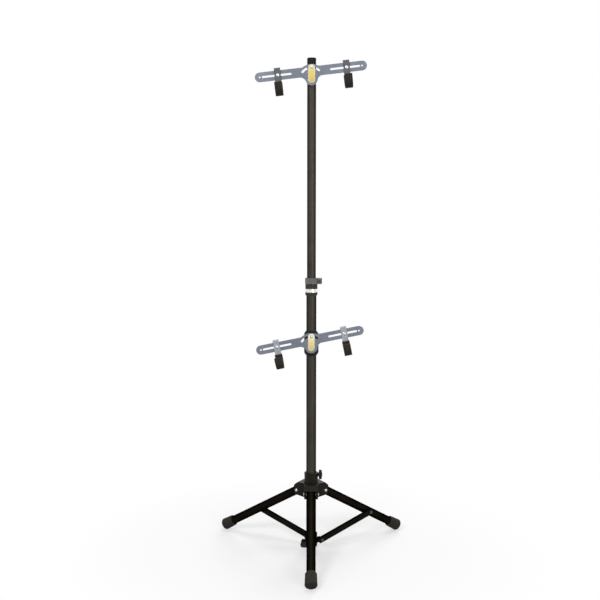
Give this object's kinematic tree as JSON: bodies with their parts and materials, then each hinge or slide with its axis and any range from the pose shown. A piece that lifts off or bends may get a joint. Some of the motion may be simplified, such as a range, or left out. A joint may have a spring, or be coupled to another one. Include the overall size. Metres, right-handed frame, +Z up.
{
  "type": "bicycle storage stand",
  "caption": "Free-standing bicycle storage stand: folding tripod, telescoping mast and tilting slotted bars with rubber-covered hooks, one above the other.",
  "frame": {"origin": "centre of the mast's foot, on the floor", "axes": "+Z up along the mast; -Y is the front, where one leg, both bars and all hooks point; +X to the right seen from the front"},
  "size_m": [0.7738, 0.6763, 1.969],
  "materials": {
    "black_nylon": "moulded black nylon",
    "black_powder_coat": "satin black powder coat",
    "black_rubber": "matt black rubber",
    "blue_grey_steel": "blue-grey metallic powder coat",
    "dark_steel": "black oxide",
    "silver_steel": "brushed, bright",
    "zinc_steel": "zinc plated"
  },
  "bodies": {
    "mast": {"lower_mast_tube": "black_powder_coat", "mast_base_plug": "black_nylon", "telescoping_collar": "black_nylon", "collar_ring": "silver_steel", "clamp_band": "black_nylon", "clamp_bolt": "dark_steel", "lower_collar": "black_powder_coat", "front_strut_pin": "dark_steel", "left_strut_pin": "dark_steel", "right_strut_pin": "dark_steel"},
    "quick_release": {"quick_release_lever": "black_nylon"},
    "upper_mast": {"upper_mast_tube": "black_powder_coat", "top_cap": "black_nylon", "upper_saddle": "black_nylon", "upper_strap": "silver_steel", "upper_lock_bolt": "zinc_steel", "upper_lock_nut": "zinc_steel", "upper_pivot_bolt": "zinc_steel", "upper_pivot_nut": "zinc_steel"},
    "upper_bar": {"upper_bar": "blue_grey_steel"},
    "lower_cradle": {"lower_cradle_collar": "black_nylon", "lower_strap": "silver_steel", "lower_lock_bolt": "zinc_steel", "lower_pivot_bolt": "zinc_steel"},
    "lower_cradle_knob": {"lower_cradle_knob": "black_nylon"},
    "lower_bar": {"lower_bar": "blue_grey_steel"},
    "tripod_hub": {"tripod_hub": "black_nylon", "front_leg_hinge_bolt": "zinc_steel", "left_leg_hinge_bolt": "zinc_steel", "right_leg_hinge_bolt": "zinc_steel"},
    "hub_knob": {"hub_knob": "black_nylon"},
    "upper_left_hook": {"upper_left_hook": "blue_grey_steel", "upper_left_hook_sleeve": "black_rubber", "upper_left_hook_bolt": "zinc_steel", "upper_left_hook_nut": "zinc_steel"},
    "upper_right_hook": {"upper_right_hook": "blue_grey_steel", "upper_right_hook_sleeve": "black_rubber", "upper_right_hook_bolt": "zinc_steel", "upper_right_hook_nut": "zinc_steel"},
    "lower_left_hook": {"lower_left_hook": "blue_grey_steel", "lower_left_hook_sleeve": "black_rubber", "lower_left_hook_bolt": "zinc_steel", "lower_left_hook_nut": "zinc_steel"},
    "lower_right_hook": {"lower_right_hook": "blue_grey_steel", "lower_right_hook_sleeve": "black_rubber", "lower_right_hook_bolt": "zinc_steel", "lower_right_hook_nut": "zinc_steel"},
    "front_leg": {"front_leg": "black_powder_coat", "front_foot": "black_rubber"},
    "front_strut": {"front_strut": "black_powder_coat", "front_strut_rivet": "dark_steel"},
    "left_leg": {"left_leg": "black_powder_coat", "left_foot": "black_rubber"},
    "left_strut": {"left_strut": "black_powder_coat", "left_strut_rivet": "dark_steel"},
    "right_leg": {"right_leg": "black_powder_coat", "right_foot": "black_rubber"},
    "right_strut": {"right_strut": "black_powder_coat", "right_strut_rivet": "dark_steel"}
  },
  "joints": [
    {"name": "quick_release_lever_swing", "type": "hinge", "parent": "mast", "child": "quick_release", "pos_m": [0.034, -0.0168, 1.0991], "axis": [0, 0, 1], "range_deg": [0, 150]},
    {"name": "upper_mast_slide", "type": "slide", "parent": "mast", "child": "upper_mast", "axis": [0, 0, 1], "range_m": [-0.74, 0.1]},
    {"name": "lower_cradle_slide", "type": "slide", "parent": "mast", "child": "lower_cradle", "axis": [0, 0, 1], "range_m": [-0.15, 0.06]},
    {"name": "lower_cradle_knob_turn", "type": "hinge", "parent": "lower_cradle", "child": "lower_cradle_knob", "pos_m": [0, 0.039, 0.8495], "axis": [0, 1, 0], "continuous": true},
    {"name": "hub_slide", "type": "slide", "parent": "mast", "child": "tripod_hub", "axis": [0, 0, 1], "range_m": [0, 0.2937]},
    {"name": "hub_knob_turn", "type": "hinge", "parent": "tripod_hub", "child": "hub_knob", "pos_m": [0.0375, 0, 0.307], "axis": [1, 0, 0], "continuous": true},
    {"name": "front_leg_hinge", "type": "hinge", "parent": "tripod_hub", "child": "front_leg", "pos_m": [0, -0.053, 0.2405], "axis": [1, 0, 0], "range_deg": [0, 56.15]},
    {"name": "front_strut_hinge", "type": "hinge", "parent": "mast", "child": "front_strut", "pos_m": [-0.0278, -0.032, 0.0354], "axis": [-1, 0, 0], "range_deg": [0, 63.6]},
    {"name": "left_leg_hinge", "type": "hinge", "parent": "tripod_hub", "child": "left_leg", "pos_m": [-0.0459, 0.0265, 0.2405], "axis": [-0.5, -0.866, 0], "range_deg": [0, 56.15]},
    {"name": "left_strut_hinge", "type": "hinge", "parent": "mast", "child": "left_strut", "pos_m": [-0.01381, 0.04008, 0.0354], "axis": [0.5, 0.866, 0], "range_deg": [0, 63.6]},
    {"name": "right_leg_hinge", "type": "hinge", "parent": "tripod_hub", "child": "right_leg", "pos_m": [0.0459, 0.0265, 0.2405], "axis": [-0.5, 0.866, 0], "range_deg": [0, 56.15]},
    {"name": "right_strut_hinge", "type": "hinge", "parent": "mast", "child": "right_strut", "pos_m": [0.04161, -0.00808, 0.0354], "axis": [0.5, -0.866, 0], "range_deg": [0, 63.6]},
    {"name": "upper_bar_tilt", "type": "hinge", "parent": "upper_mast", "child": "upper_bar", "pos_m": [0, -0.0238, 1.8845], "axis": [0, -1, 0], "range_deg": [-52.4, 39.6]},
    {"name": "upper_left_hook_slide", "type": "slide", "parent": "upper_bar", "child": "upper_left_hook", "axis": [0.9938, 0, 0.1115], "range_m": [-0.058, 0.05]},
    {"name": "upper_right_hook_slide", "type": "slide", "parent": "upper_bar", "child": "upper_right_hook", "axis": [0.9938, 0, 0.1115], "range_m": [-0.06, 0.048]},
    {"name": "lower_bar_tilt", "type": "hinge", "parent": "lower_cradle", "child": "lower_bar", "pos_m": [0, -0.0313, 0.836], "axis": [0, -1, 0], "range_deg": [-57.5, 34.5]},
    {"name": "lower_left_hook_slide", "type": "slide", "parent": "lower_bar", "child": "lower_left_hook", "axis": [0.9799, 0, 0.1994], "range_m": [-0.053, 0.055]},
    {"name": "lower_right_hook_slide", "type": "slide", "parent": "lower_bar", "child": "lower_right_hook", "axis": [0.9799, 0, 0.1994], "range_m": [-0.06, 0.048]}
  ],
  "couplings": [
    {"joint": "front_leg_hinge", "follows": "hub_slide", "rad_per_m": 3.3338},
    {"joint": "front_strut_hinge", "follows": "hub_slide", "rad_per_m": 3.7767},
    {"joint": "left_leg_hinge", "follows": "hub_slide", "rad_per_m": 3.3338},
    {"joint": "left_strut_hinge", "follows": "hub_slide", "rad_per_m": 3.7767},
    {"joint": "right_leg_hinge", "follows": "hub_slide", "rad_per_m": 3.3338},
    {"joint": "right_strut_hinge", "follows": "hub_slide", "rad_per_m": 3.7767}
  ]
}
